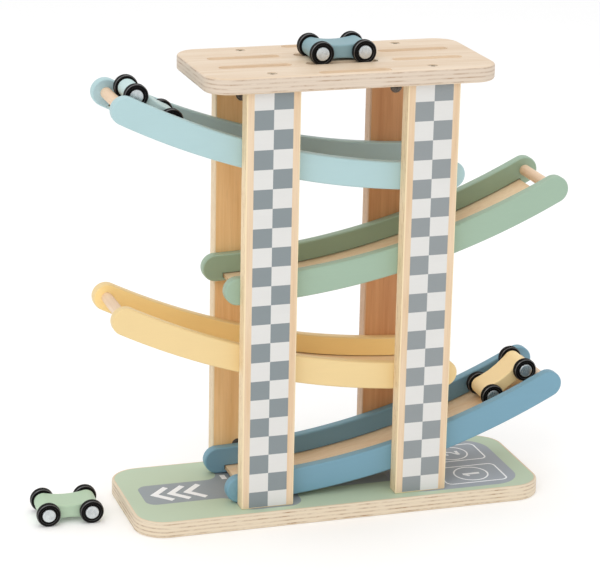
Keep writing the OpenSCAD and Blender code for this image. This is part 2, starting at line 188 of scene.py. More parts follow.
class TrackSizes(bpy.types.PropertyGroup):
    """Sizes of the roundings, the cuts, the print, the ramps and the cars."""
    ply: length("Ply", "Thickness of one ply", 1.5)
    base_corner: length("Base corner", "Corner radius of the base board", 22.5)
    base_edge: length("Base edge", "Rounding of the base board's edges", 1.2)
    top_corner: length("Top corner", "Corner radius of the top board", 18)
    top_edge: length("Top edge", "Rounding of the top board's edges", 2.2)
    well_radius: length("Well radius", "Radius of the wells over the bolts", 3.6)
    well_depth: length("Well depth", "Depth of the wells over the bolts", 3.5)
    groove_length: length("Groove length", "Length of a parking groove", 54)
    groove_width: length("Groove width", "Width of a parking groove", 9)
    groove_end: length("Groove end", "Corner radius of a parking groove", 4.49)
    groove_depth: length("Groove depth", "Depth of the parking grooves", 2.05)
    post_edge: length("Post edge", "Rounding of the posts' edges", 1.0)
    check: length("Check", "Side of a printed check", 14.4)
    nut_inset: length("Nut inset", "Distance of the barrel nuts from the ends of the posts", 20)
    nut_hole: length("Nut hole", "Radius of the holes for the barrel nuts", 4.6)
    nut_hole_depth: length("Nut hole depth", "Depth of the holes for the barrel nuts", 10.1)
    ink: length("Ink", "Thickness of one layer of printing ink", 0.06)
    print_margin: length("Print margin", "Bare wood left round the printed green", 2.0)
    ramp_radius: length("Ramp radius", "Radius of the rails' underside", 567)
    rail_height: length("Rail height", "Height of a rail", 20.5)
    rail_thickness: length("Rail thickness", "Thickness of a rail", 8)
    rail_edge: length("Rail edge", "Rounding of the rails' edges", 1.4)
    high_angle: angle("High angle", "Angle of the middle of a ramp's high end", 27)
    low_angle: angle("Low angle", "Angle of the middle of a ramp's low end", 0.85)
    floor_lift: length("Floor lift", "Height of a ramp's floor above the rails' underside", 2.5)
    floor_thickness: length("Floor thickness", "Thickness of a ramp's floor", 3)
    floor_edge: length("Floor edge", "Rounding of the floors' long edges", 0.25)
    slot_play: length("Slot play", "Open gap above a floor and at its ends in the rails' slots", 0.7)
    rod_edge: length("Rod edge", "Rounding of the stop rods' ends", 0.5)
    car_width: length("Car width", "Width of a car body", 24)
    car_end: length("Car end", "Radius of a car body's round ends", 6.7)
    car_waist: length("Car waist", "Thickness of a car body at its waist", 9.8)
    car_edge: length("Car edge", "Rounding of a car body's edges", 1.3)
    axle_bore: length("Axle bore", "Radius of the bores for the axles", 1.6)


class TrackColours(bpy.types.PropertyGroup):
    """Colours of the paints and inks, and the two tones of each wood, metal and plastic."""
    pale_blue: colour("Pale blue", "Paint of the top ramp", 175, 205, 208)
    green: colour("Green", "Paint of the second ramp", 158, 183, 162)
    yellow: colour("Yellow", "Paint of the third ramp", 236, 208, 151)
    blue: colour("Blue", "Paint of the lowest ramp", 117, 160, 180)
    # Channel coats: each ramp's paint with painted light and shade in it, lighter on the yellow ramp and darker on
    # the others.
    pale_blue_inside: colour("Pale blue inside", "Paint in the top ramp's channel", 171, 199, 205)
    green_inside: colour("Green inside", "Paint in the second ramp's channel", 149, 171, 146)
    yellow_inside: colour("Yellow inside", "Paint in the third ramp's channel", 253, 222, 152)
    blue_inside: colour("Blue inside", "Paint in the lowest ramp's channel", 113, 152, 172)
    car_pale_blue: colour("Car pale blue", "Paint of the car on the top ramp", 195, 219, 218)
    car_yellow: colour("Car yellow", "Paint of the car on the lowest ramp", 253, 226, 170)
    car_blue: colour("Car blue", "Paint of the car on the top board", 132, 165, 173)
    car_green: colour("Car green", "Paint of the car on the ground", 180, 204, 176)
    print_green: colour("Print green", "Ink of the base board's grass", 190, 207, 182)
    road: colour("Road", "Ink of the road", 152, 161, 167)
    # The pad's ink is the road's grey made lighter: painted light.
    pad: colour("Pad", "Ink of the parking pad", 160, 168, 178)
    road_white: colour("Road white", "Ink of the road's marks", 249, 251, 254)
    check_grey: colour("Check grey", "Ink of the grey checks", 133, 142, 145)
    check_pale_grey: colour("Check pale grey", "Ink of the right-hand posts' grey checks", 143, 149, 151)
    check_white: colour("Check white", "Ink of the white checks", 221, 220, 217)
    birch: colour("Birch", "Light tone of the boards", 231, 212, 189)
    birch_dark: colour("Birch dark", "Dark tone of the boards", 213, 185, 152)
    floor_birch: colour("Floor birch", "Light tone of the ramps' floors", 248, 225, 193)
    floor_birch_dark: colour("Floor birch dark", "Dark tone of the ramps' floors", 230, 197, 156)
    floor_edge: colour("Floor edge", "Light tone of the floors' edges", 226, 196, 154)
    floor_edge_dark: colour("Floor edge dark", "Dark tone of the floors' edges", 196, 158, 114)
    pine: colour("Pine", "Light tone of the front posts", 232, 208, 178)
    pine_dark: colour("Pine dark", "Dark tone of the front posts", 216, 180, 138)
    # Rear post tones: pine with painted shade and warm bounce light in it; the rear right post's is also partly a
    # redder wood.
    rear_pine: colour("Rear pine", "Light tone of the rear left post", 248, 208, 153)
    rear_pine_dark: colour("Rear pine dark", "Dark tone of the rear left post", 227, 177, 115)
    red_pine: colour("Red pine", "Light tone of the rear right post", 221, 168, 120)
    red_pine_dark: colour("Red pine dark", "Dark tone of the rear right post", 196, 136, 88)
    base_plies: colour("Base plies", "Light plies of the base board", 229, 213, 188)
    base_plies_dark: colour("Base plies dark", "Dark plies of the base board", 164, 126, 92)
    top_plies: colour("Top plies", "Light plies of the top board", 220, 203, 184)
    top_plies_dark: colour("Top plies dark", "Dark plies of the top board", 174, 143, 115)
    front_plies: colour("Front plies", "Light plies of the front posts", 243, 222, 184)
    front_plies_dark: colour("Front plies dark", "Dark plies of the front posts", 182, 140, 94)
    rear_left_plies: colour("Rear left plies", "Light plies of the rear left post", 239, 219, 186)
    rear_left_plies_dark: colour("Rear left plies dark", "Dark plies of the rear left post", 203, 165, 119)
    # The rear right post's ply tones are darker than the others: painted shade.
    rear_right_plies: colour("Rear right plies", "Light plies of the rear right post", 217, 184, 154)
    rear_right_plies_dark: colour("Rear right plies dark", "Dark plies of the rear right post", 150, 112, 88)
    cut_wood: colour("Cut wood", "Light tone of cut wood in grooves and holes", 236, 218, 194)
    cut_wood_dark: colour("Cut wood dark", "Dark tone of cut wood in grooves and holes", 220, 196, 168)
    rod_wood: colour("Rod wood", "Light tone of the stop rods and dowels", 238, 211, 182)
    rod_wood_dark: colour("Rod wood dark", "Dark tone of the stop rods and dowels", 218, 184, 148)
    cap_metal: colour("Cap metal", "Light tone of the axle caps", 212, 218, 220)
    cap_metal_dark: colour("Cap metal dark", "Dark tone of the axle caps", 188, 193, 196)
    plated_steel: colour("Plated steel", "Light tone of the bolts and axles", 232, 226, 214)
    plated_steel_dark: colour("Plated steel dark", "Dark tone of the bolts and axles", 206, 196, 180)
    nut_steel: colour("Nut steel", "Light tone of the barrel nuts", 112, 104, 96)
    nut_steel_dark: colour("Nut steel dark", "Dark tone of the barrel nuts", 76, 70, 64)
    wheel_black: colour("Wheel black", "Light tone of the wheels", 30, 29, 29)
    wheel_black_dark: colour("Wheel black dark", "Dark tone of the wheels", 19, 18, 18)


# Shader node helpers

def feed(tree, node, feeds):
    """Feeds a node's inputs from values or from other nodes' outputs."""
    for key, value in feeds.items():
        if isinstance(value, bpy.types.NodeSocket):
            tree.links.new(value, node.inputs[key])
        else:
            node.inputs[key].default_value = value


def add_node(tree, kind, feeds, **settings):
    """Adds a node, sets it up and feeds its inputs."""
    made = tree.nodes.new(kind)
    for key, value in settings.items():
        setattr(made, key, value)
    feed(tree, made, feeds)
    return made


def math_node(tree, operation, first, second=0.0):
    """The result of a sum on one or two values."""
    return add_node(tree, "ShaderNodeMath", {0: first, 1: second}, operation=operation).outputs[0]


def weigh(tree, first, second, share):
    """Two values added together, the first by its share and the second by the rest."""
    rest = math_node(tree, "MULTIPLY", second, 1.0 - share)
    return math_node(tree, "ADD", math_node(tree, "MULTIPLY", first, share), rest)


def swing(tree, value, reach):
    """Noise made to swing about zero."""
    return math_node(tree, "MULTIPLY", math_node(tree, "SUBTRACT", value, 0.5), reach)


def mix_colour(tree, share, first, second, blend="MIX"):
    """Two colours mixed by a share of the second."""
    feeds = {0: share, 6: first, 7: second}
    return add_node(tree, "ShaderNodeMix", feeds, data_type="RGBA", blend_type=blend).outputs[2]


def darken(tree, ground, level):
    """A colour times a level that is the same for red, green and blue."""
    shade = add_node(tree, "ShaderNodeCombineColor", {0: level, 1: level, 2: level}).outputs[0]
    return mix_colour(tree, 1.0, ground, shade, "MULTIPLY")


def noise(tree, vector, cells, detail=4.0, roughness=0.55, distortion=0.0):
    """Noise with its own number of cells to the metre along X, Y and Z."""
    scaled = add_node(tree, "ShaderNodeVectorMath", {0: vector, 1: cells}, operation="MULTIPLY").outputs[0]
    feeds = {"Vector": scaled, "Scale": 1.0, "Detail": detail, "Roughness": roughness,
             "Distortion": distortion}
    return add_node(tree, "ShaderNodeTexNoise", feeds).outputs[0]


def map_range(tree, value, span, to):
    """A span of values stretched to another one, and held at its ends."""
    feeds = {"Value": value, "From Min": span[0], "From Max": span[1], "To Min": to[0], "To Max": to[1]}
    return add_node(tree, "ShaderNodeMapRange", feeds, clamp=True).outputs[0]


# Finishes: each returns a colour, a roughness and a height

def wood_grain(tree, given):
    """Wood grain along X: broad bands, streaks and fine fibres."""
    bands = noise(tree, given["Vector"], (5, 60, 60), detail=3.0, roughness=0.5, distortion=0.6)
    streaks = noise(tree, given["Vector"], (14, 420, 420), detail=5.0, roughness=0.6, distortion=0.2)
    fibres = noise(tree, given["Vector"], (70, 2600, 2600), detail=3.0, roughness=0.6)
    tone = map_range(tree, weigh(tree, bands, streaks, share=0.55), span=(0.38, 0.64), to=(0.0, 1.0))
    share = math_node(tree, "MULTIPLY", tone, given["Streaks"])
    ground = mix_colour(tree, share, given["Light"], given["Dark"])
    pores = map_range(tree, fibres, span=(0.28, 0.42), to=(0.88, 1.0))
    rough = map_range(tree, streaks, span=(0.3, 0.7), to=(0.40, 0.56))
    return darken(tree, ground, pores), rough, weigh(tree, fibres, streaks, share=0.6)


def cut_plies(tree, given):
    """The cut edge of plywood: light and dark plies with glue lines between them, stacked along Z."""
    up = add_node(tree, "ShaderNodeSeparateXYZ", {0: given["Vector"]}).outputs[2]
    count = math_node(tree, "DIVIDE", math_node(tree, "SUBTRACT", up, given["Bottom"]), given["Ply"])
    wobble = swing(tree, noise(tree, given["Vector"], (45, 45, 12), detail=3.0), reach=0.35)
    saw = math_node(tree, "PINGPONG", math_node(tree, "ADD", count, wobble), 1.0)
    across = map_range(tree, saw, span=(0.62, 0.88), to=(0.0, 1.0))
    speckle = noise(tree, given["Vector"], (260, 260, 700), roughness=0.7)
    patches = noise(tree, given["Vector"], (55, 55, 500), roughness=0.65)
    share = math_node(tree, "MULTIPLY", across, map_range(tree, speckle, span=(0.35, 0.7), to=(0.2, 0.9)))
    share = math_node(tree, "MULTIPLY", share, map_range(tree, patches, span=(0.40, 0.60), to=(0.0, 1.5)))
    ground = mix_colour(tree, share, given["Light"], given["Dark"])
    from_glue = math_node(tree, "ABSOLUTE", math_node(tree, "SUBTRACT", saw, GLUE_LINE))
    glue = map_range(tree, from_glue, span=(0.0, 0.14), to=(0.86, 1.0))
    rough = map_range(tree, speckle, span=(0.3, 0.7), to=(0.50, 0.66))
    height = math_node(tree, "ADD", math_node(tree, "MULTIPLY", speckle, 0.5), glue)
    return darken(tree, ground, glue), rough, height


def paint_film(tree, given):
    """A film of paint or ink on wood: a little mottled, with the grain showing through as relief."""
    cloud = noise(tree, given["Vector"], (26, 60, 60), roughness=0.6, distortion=0.3)
    grain = noise(tree, given["Vector"], (50, 900, 900), roughness=0.6)
    both = weigh(tree, cloud, grain, share=0.6)
    level = math_node(tree, "ADD", swing(tree, both, given["Mottle"]), 1.0)
    tinted = add_node(tree, "ShaderNodeVectorMath", {0: given["Colour"], "Scale": level}, operation="SCALE")
    rough = math_node(tree, "ADD", given["Gloss"], swing(tree, both, reach=0.3))
    return tinted.outputs[0], rough, weigh(tree, grain, cloud, share=0.7)


def turned_metal(tree, given):
    """Turned metal: fine streaks across the face and a little tarnish."""
    streaks = noise(tree, given["Vector"], (2400, 500, 300), detail=3.0, roughness=0.6)
    spots = noise(tree, given["Vector"], (260, 260, 260), detail=3.0, roughness=0.5)
    tarnish = map_range(tree, spots, span=(0.35, 0.7), to=(0.0, 1.0))
    rough = map_range(tree, streaks, span=(0.3, 0.7), to=(0.20, 0.34))
    return mix_colour(tree, tarnish, given["Light"], given["Dark"]), rough, streaks


def moulded_plastic(tree, given):
    """Moulded plastic: a fine matt grain with slightly shinier patches."""
    fine = noise(tree, given["Vector"], (2200, 2200, 2200), detail=3.0, roughness=0.6)
    patch = noise(tree, given["Vector"], (160, 160, 160), detail=3.0, roughness=0.5)
    rough = map_range(tree, patch, span=(0.3, 0.7), to=(0.24, 0.36))
    return mix_colour(tree, patch, given["Dark"], given["Light"]), rough, fine


FINISHES = {
    "Wood grain": (wood_grain, ("Vector", "Light", "Dark", "Streaks")),
    "Cut plies": (cut_plies, ("Vector", "Light", "Dark", "Bottom", "Ply")),
    "Paint film": (paint_film, ("Vector", "Colour", "Mottle", "Gloss")),
    "Turned metal": (turned_metal, ("Vector", "Light", "Dark")),
    "Moulded plastic": (moulded_plastic, ("Vector", "Light", "Dark")),
}
FINISH_OUTPUTS = ("Colour", "Roughness", "Height")
SOCKET_KINDS = {"Vector": "NodeSocketVector", "Light": "NodeSocketColor", "Dark": "NodeSocketColor",
                "Colour": "NodeSocketColor"}


def finish_group(name):
    """The shader group of a finish, made once."""
    if name in bpy.data.node_groups:
        return bpy.data.node_groups[name]
    finish, inputs = FINISHES[name]
    tree = bpy.data.node_groups.new(name, "ShaderNodeTree")
    for side, labels in (("INPUT", inputs), ("OUTPUT", FINISH_OUTPUTS)):
        for label in labels:
            kind = SOCKET_KINDS.get(label, "NodeSocketFloat")
            tree.interface.new_socket(name=label, in_out=side, socket_type=kind)
    made = finish(tree, tree.nodes.new("NodeGroupInput").outputs)
    add_node(tree, "NodeGroupOutput", dict(zip(FINISH_OUTPUTS, made)))
    return tree


def surface(name, finish, values, bump, turn=ALONG_X, metallic=0.0, specular=0.5, coat=0.0):
    """A material whose colour, roughness and relief come from one finish, read on Object coordinates."""
    if name in bpy.data.materials:
        return bpy.data.materials[name]
    material = bpy.data.materials.new(name)
    material.use_nodes = True
    tree = material.node_tree
    place = add_node(tree, "ShaderNodeTexCoord", {}).outputs["Object"]
    turned = add_node(tree, "ShaderNodeMapping", {"Vector": place, "Rotation": turn}).outputs[0]
    group = add_node(tree, "ShaderNodeGroup", {}, node_tree=finish_group(finish))
    feed(tree, group, {"Vector": turned})
    for key, value in values.items():
        group.inputs[key].default_value = (*value, 1.0) if isinstance(value, tuple) else value
    colours, rough, height = (group.outputs[label] for label in FINISH_OUTPUTS)
    raised = add_node(tree, "ShaderNodeBump", {"Strength": bump, "Distance": RELIEF, "Height": height})
    feed(tree, tree.nodes["Principled BSDF"],
         {"Base Color": colours, "Roughness": rough, "Normal": raised.outputs[0], "Metallic": metallic,
          "Specular IOR Level": specular, "Coat Weight": coat, "Coat Roughness": COAT_ROUGHNESS})
    return material


# Materials of the track

def plain(name):
    """The name of a colour in plain words."""
    return name.replace("_", " ").capitalize()


def tint(context, name):
    """One of the track's colours."""
    return tuple(getattr(context.scene.track_colours, name))


def tones(context, name):
    """The light and the dark tone of a wood, metal or plastic."""
    return {"Light": tint(context, name), "Dark": tint(context, name + "_dark")}


def wood(context, name, tone, streaks, bump=0.25, turn=ALONG_X):
    """Solid wood or the face of a sheet of plywood."""
    return surface(name, "Wood grain", {**tones(context, tone), "Streaks": streaks}, bump, turn)


def birch(context, tone="birch"):
    """The face of birch plywood."""
    return wood(context, plain(tone) + " plywood face", tone, streaks=0.75)


def post_wood(context, post):
    """Pine with upright grain. The rear posts' inner faces take warmer tones as painted shade with warm bounce
    light, the rear right one darker and partly a redder wood.
    """
    tone = SHADED_PINE_OF_POST.get(post, "pine")
    return wood(context, plain(tone) + " post wood", tone, streaks=0.8, turn=ALONG_Z)


def rod_wood(context):
    """Wood of the stop rods and dowels, with grain along them."""
    return wood(context, "Rod wood", "rod_wood", streaks=0.8, turn=ALONG_Y)


def cut_wood(context):
    """Raw wood where a groove or a hole is cut."""
    return wood(context, "Cut wood", "cut_wood", streaks=0.9, bump=0.4)


def ply_edge(context, tone, bottom, turn=ALONG_X):
    """The cut edge of plywood, its plies counted from the bottom."""
    values = {**tones(context, tone), "Bottom": bottom, "Ply": context.scene.track_sizes.ply}
    return surface(plain(tone), "Cut plies", values, bump=0.3, turn=turn)


def paint(context, name):
    """Paint of a ramp or a car."""
    values = {"Colour": tint(context, name), "Mottle": 0.10, "Gloss": 0.46}
    return surface(plain(name) + " paint", "Paint film", values, bump=0.12)


def ink(context, name):
    """Printing ink, duller than the paint."""
    values = {"Colour": tint(context, name), "Mottle": 0.10, "Gloss": 0.55}
    return surface(plain(name) + " ink", "Paint film", values, bump=0.15)


def metal(context, tone, metallic):
    """Metal of the axle caps, bolts, axles and barrel nuts."""
    return surface(plain(tone), "Turned metal", tones(context, tone), bump=0.2, metallic=metallic)


def wheel_plastic(context, name, specular, coat):
    """Black plastic of the wheels."""
    black = tones(context, "wheel_black")
    return surface(name, "Moulded plastic", black, bump=0.15, specular=specular, coat=coat)


# Mesh helpers

def body_of(node):
    """The body that a CAD node belongs to."""
    for name, nodes in BODIES.items():
        if node in nodes:
            return name
    raise RuntimeError("no body holds the node " + node)


def link_mesh(bm, name):
    """Makes an object at the origin from a mesh, and frees the mesh."""
    mesh = bpy.data.meshes.new(name)
    bm.to_mesh(mesh)
    bm.free()
    if not mesh.polygons:
        raise RuntimeError("nothing was made for " + name)
    made = bpy.data.objects.new(name, mesh)
    bpy.context.scene.collection.objects.link(made)
    return made


def set_down(bm, name, materials, node, cutter=None, cut_slot=0, replaces=True):
    """Closes a mesh, cuts it, makes it a piece at the origin and lets it ride with the body of a CAD node."""
    bmesh.ops.remove_doubles(bm, verts=bm.verts, dist=MERGE_GAP)
    bmesh.ops.dissolve_degenerate(bm, dist=SLIVER, edges=bm.edges)
    bmesh.ops.recalc_face_normals(bm, faces=bm.faces)
    piece = link_mesh(bm, name)
    for material in materials:
        piece.data.materials.append(material)
    if cutter:
        cut(piece, cutter, cut_slot)
    soften(piece)
    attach(piece, body_of(node))
    if replaces:
        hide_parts(node)


def cut(piece, cutter, slot):
    """Cuts closed meshes out of a piece, gives the cut faces a material slot and softens the new rims."""
    bmesh.ops.recalc_face_normals(cutter, faces=cutter.faces)
    for face in cutter.faces:
        face.material_index = slot
    tool = link_mesh(cutter, "cutter")
    step = piece.modifiers.new("Cut", "BOOLEAN")
    step.operation = "DIFFERENCE"
    step.solver = "EXACT"
    step.object = tool
    bpy.context.view_layer.update()
    result = bpy.data.meshes.new_from_object(piece.evaluated_get(bpy.context.evaluated_depsgraph_get()))
    piece.modifiers.clear()
    spent = (piece.data, tool.data)
    piece.data = result
    bpy.data.objects.remove(tool)
    for mesh in spent:
        bpy.data.meshes.remove(mesh)
    result.name = piece.name
    bm = bmesh.new()
    bm.from_mesh(result)
    round_edges(bm, sharp_edges(bm, CUT_RIM_ANGLE), CUT_RIM, segments=2)
    bmesh.ops.dissolve_degenerate(bm, dist=CUT_SLIVER, edges=bm.edges)
    bm.to_mesh(result)
    bm.free()


def soften(piece):
    """Smooth shading that keeps flat faces flat and sharp edges sharp."""
    mesh = piece.data
    mesh.polygons.foreach_set("use_smooth", [True] * len(mesh.polygons))
    mesh.set_sharp_from_angle(angle=SMOOTH_ANGLE)
    weighted = piece.modifiers.new("Flat faces", "WEIGHTED_NORMAL")
    weighted.keep_sharp = True
    weighted.weight = FLAT_WEIGHT


def join(bm, layer):
    """Adds a finished layer to a mesh, and frees the layer."""
    mesh = bpy.data.meshes.new("layer")
    layer.to_mesh(mesh)
    layer.free()
    bm.from_mesh(mesh)
    bpy.data.meshes.remove(mesh)


def round_corners(bm, corners, radius, segments):
    """Rounds corners of a flat face."""
    bmesh.ops.bevel(bm, geom=corners, offset=radius, offset_type="OFFSET", segments=segments, profile=0.5,
                    affect="VERTICES", material=-1)


def round_edges(bm, edges, radius, segments):
    """Rounds edges of a solid."""
    bmesh.ops.bevel(bm, geom=list(edges), offset=radius, offset_type="OFFSET", segments=segments, profile=0.5,
                    affect="EDGES", material=-1, clamp_overlap=True)


def sharp_edges(bm, least=RIM_ANGLE):
    """The edges where two faces meet at more than the least angle."""
    return [edge for edge in bm.edges if len(edge.link_faces) == 2 and edge.calc_face_angle(0.0) > least]


def rounded_sheet(bm, size, corner, place, segments):
    """The first face of an empty mesh: flat, with rounded corners, centred on the origin of its place."""
    made = bmesh.ops.create_grid(bm, x_segments=1, y_segments=1, size=0.5)["verts"]
    bmesh.ops.scale(bm, vec=(*size, 1.0), verts=made)
    if corner > 0:
        round_corners(bm, made, corner, segments)
    bmesh.ops.transform(bm, matrix=place, verts=bm.verts)
    return next(iter(bm.faces))


def thicken(bm, faces, offset):
    """Draws faces out into closed solids."""
    made = bmesh.ops.extrude_face_region(bm, geom=list(faces), use_keep_orig=True)["geom"]
    moved = [item for item in made if isinstance(item, bmesh.types.BMVert)]
    bmesh.ops.translate(bm, vec=offset, verts=moved)


def cylinder(bm, radius, depth, place, segments=32):
    """A round bar with closed ends, along the Z axis of its place."""
    bmesh.ops.create_cone(bm, cap_ends=True, segments=segments, radius1=radius, radius2=radius, depth=depth,
                          matrix=place)


def board(low, high, corner, edge, flat):
    """A board with rounded corners and softened edges, whose faces show plies where they lean past flat."""
    bm = bmesh.new()
    size = (high.x - low.x, high.y - low.y)
    face = rounded_sheet(bm, size, corner, Matrix.Translation((0.0, 0.0, low.z)), segments=14)
    thicken(bm, [face], (0.0, 0.0, high.z - low.z))
    rims = [rim for rim in bm.edges if abs(rim.verts[0].co.z - rim.verts[1].co.z) < LEVEL]
    round_edges(bm, rims, edge, segments=5)
    for face in bm.faces:
        face.material_index = BOARD_FACE if abs(face.normal.z) > flat else BOARD_EDGE
    return bm


def bolt_wells(bm, sizes, face_z):
    """Round wells over the bolts, to be cut into a board's face."""
    for x, y in BOLT_PLACES:
        cylinder(bm, sizes.well_radius, 2 * sizes.well_depth, Matrix.Translation((x, y, face_z)))


class TRACK_OT_base_board(bpy.types.Operator):
    """Make the base board with its plywood edge and its printed road"""
    bl_idname = "track.base_board"
    bl_label = "Base board"

    def execute(self, context):
        sizes = context.scene.track_sizes
        low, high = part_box("base_board")
        wells = bmesh.new()
        bolt_wells(wells, sizes, low.z)
        bm = board(low, high, sizes.base_corner, sizes.base_edge, flat=SQUARE_ON)
        woods = [birch(context), ply_edge(context, "base_plies", low.z), cut_wood(context)]
        set_down(bm, "base_board_wood", woods, "base_board", wells, BOARD_CUT)
        self.print_base(context, low, high)
        return {"FINISHED"}

    def print_base(self, context, low, high):
        """Ink in thin layers: grass, then the road and the pad, then the white marks. The pad's ink is the road's
        grey made lighter as painted light.
        """
        sizes = context.scene.track_sizes
        margin = sizes.print_margin
        grass, road, pad, marks = (bmesh.new() for _ in range(4))
        self.lay(grass, (low.x + margin, low.y + margin, high.x - margin, high.y - margin),
                 sizes.base_corner - margin)
        self.road(road)
        self.lay(pad, PAD_EDGES, PAD_CORNER)
        self.marks(marks)
        road_z = high.z + sizes.ink
        pad_ink = sizes.ink * PAD_INK
        self.press(context, grass, "grass", "print_green", high.z, sizes.ink)
        self.press(context, road, "road", "road", road_z, sizes.ink)
        self.press(context, pad, "pad", "pad", road_z, pad_ink)
        self.press(context, marks, "marks", "road_white", road_z + pad_ink, sizes.ink)

    def press(self, context, bm, layer, tone, z, thickness):
        """Lifts a flat drawing to its level and makes it a thin layer of ink."""
        bmesh.ops.translate(bm, vec=(0.0, 0.0, z), verts=bm.verts)
        thicken(bm, bm.faces, (0.0, 0.0, thickness))
        set_down(bm, "base_print_" + layer, [ink(context, tone)], "base_board", replaces=False)

    def road(self, bm):
        """The road with its crossing between the posts, every corner rounded by its own radius."""
        left, front, right, back = ROAD_EDGES
        cross_left, cross_front, cross_right, cross_back = CROSSING_EDGES
        corners = [(left, front, ROAD_END), (cross_left, front, CROSSING_INNER),
                   (cross_left, cross_front, CROSSING_OUTER), (cross_right, cross_front, CROSSING_OUTER),
                   (cross_right, front, CROSSING_INNER), (right, front, 0.0),
                   (right, back, 0.0), (cross_right, back, CROSSING_INNER),
                   (cross_right, cross_back, CROSSING_OUTER), (cross_left, cross_back, CROSSING_OUTER),
                   (cross_left, back, CROSSING_INNER), (left, back, ROAD_END)]
        verts = [bm.verts.new((x, y, 0.0)) for x, y, _ in corners]
        bm.faces.new(verts)
        for vert, (_, _, radius) in zip(verts, corners):
            if radius > 0:
                round_corners(bm, [vert], radius, segments=10)

    def marks(self, bm):
        """White arrows, dashes, parking bays and their ringed numbers."""
        for tip in ARROW_TIPS:
            self.arrow(bm, tip)
        for front in DASH_FRONTS:
            self.lay(bm, (DASH_LEFT, front, DASH_RIGHT, front + DASH_LENGTH), 0.0)
        for edges in BAY_EDGES:
            self.bay(bm, edges)
        for centre, figure in zip(RING_CENTRES, (self.one(), self.two())):
            self.ring(bm, centre)
            x, y = centre
            self.flat_shape(bm, [(x - up, y + across) for across, up in figure])

    def sheet(self, edges, corner, segments):
        """A rounded rectangle between its edges, in a mesh of its own."""
        left, front, right, back = edges
        layer = bmesh.new()
        middle = Matrix.Translation(((left + right) / 2, (front + back) / 2, 0.0))
        return layer, rounded_sheet(layer, (right - left, back - front), corner, middle, segments)

    def lay(self, bm, edges, corner):
        """A filled rounded rectangle."""
        layer, _ = self.sheet(edges, corner, segments=10)
        join(bm, layer)

    def bay(self, bm, edges):
        """A rounded rectangle drawn as a line."""
        layer, face = self.sheet(edges, BAY_CORNER, segments=8)
        bmesh.ops.inset_individual(layer, faces=[face], thickness=LINE, use_even_offset=True)
        bmesh.ops.delete(layer, geom=[face], context="FACES_ONLY")
        join(bm, layer)

    def ring(self, bm, centre):
        """A circle drawn as a line."""
        layer = bmesh.new()
        for radius in (RING_RADIUS, RING_RADIUS - LINE):
            bmesh.ops.create_circle(layer, cap_ends=False, segments=48, radius=radius,
                                    matrix=Matrix.Translation((*centre, 0.0)))
        bmesh.ops.bridge_loops(layer, edges=list(layer.edges))
        join(bm, layer)

    def flat_shape(self, bm, corners):
        """A face from the corners of its outline."""
        bm.faces.new([bm.verts.new((x, y, 0.0)) for x, y in corners])

    def arrow(self, bm, tip):
        """An arrow head that points along minus X, its arms cut off square."""
        half = ARROW_STROKE / 2
        shape = [(0.0, 0.0), (ARROW_REACH, -ARROW_ARM), (ARROW_REACH + half, half - ARROW_ARM),
                 (ARROW_STROKE, 0.0), (ARROW_REACH + half, ARROW_ARM - half), (ARROW_REACH, ARROW_ARM)]
        self.flat_shape(bm, [(tip + along, ARROW_MIDDLE + across) for along, across in shape])

    def one(self):
        """The outline of a plain figure one, across and up from its middle."""
        half, stem = FIGURE_HEIGHT / 2, FIGURE_HEIGHT * 0.11
        foot = [(-stem, -half), (stem, -half)]
        head = [(stem, half), (-stem * 0.9, half)]
        flag = [(-stem * 3.2, half * 0.50), (-stem * 2.2, half * 0.24), (-stem, half * 0.56)]
        return foot + head + flag

    def two(self):
        """The outline of a plain figure two, across and up from its middle."""
        half, wide, stroke = FIGURE_HEIGHT / 2, FIGURE_HEIGHT * 0.30, FIGURE_HEIGHT * 0.19
        bow, inside = half * 0.42, wide - stroke
        turns = [math.radians(degrees) for degrees in range(15, 181, 15)]
        outer_bow = [(-wide * math.cos(turn), bow + (half - bow) * math.sin(turn)) for turn in turns]
        rise = half - bow - stroke
        inner_bow = [(inside * math.cos(turn), bow + rise * math.sin(turn)) for turn in turns]
        slant = [(wide * 0.62, -half * 0.20), (-wide * 0.28, stroke - half)]
        foot = [(wide, stroke - half), (wide, -half), (-wide, -half), (-wide, stroke - half)]
        neck = [(wide * 0.20, -half * 0.06), (inside, half * 0.20), (inside, bow)]
        return [(-wide, bow)] + outer_bow + slant + foot + neck + inner_bow


class TRACK_OT_top_board(bpy.types.Operator):
    """Make the top board with its parking grooves and bolt wells"""
    bl_idname = "track.top_board"
    bl_label = "Top board"

    def execute(self, context):
        sizes = context.scene.track_sizes
        low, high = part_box("top_board")
        cutter = bmesh.new()
        for x, y in GROOVE_PLACES:
            layer = bmesh.new()
            place = Matrix.Translation((x, y, high.z - sizes.groove_depth))
            size = (sizes.groove_length, sizes.groove_width)
            face = rounded_sheet(layer, size, sizes.groove_end, place, segments=10)
            thicken(layer, [face], (0.0, 0.0, CUTTER_HEIGHT))
            join(cutter, layer)
        bolt_wells(cutter, sizes, high.z)
        bm = board(low, high, sizes.top_corner, sizes.top_edge, flat=ROUNDED_OVER)
        woods = [birch(context), ply_edge(context, "top_plies", low.z), cut_wood(context)]
        set_down(bm, "top_board_wood", woods, "top_board", cutter, BOARD_CUT)
        return {"FINISHED"}


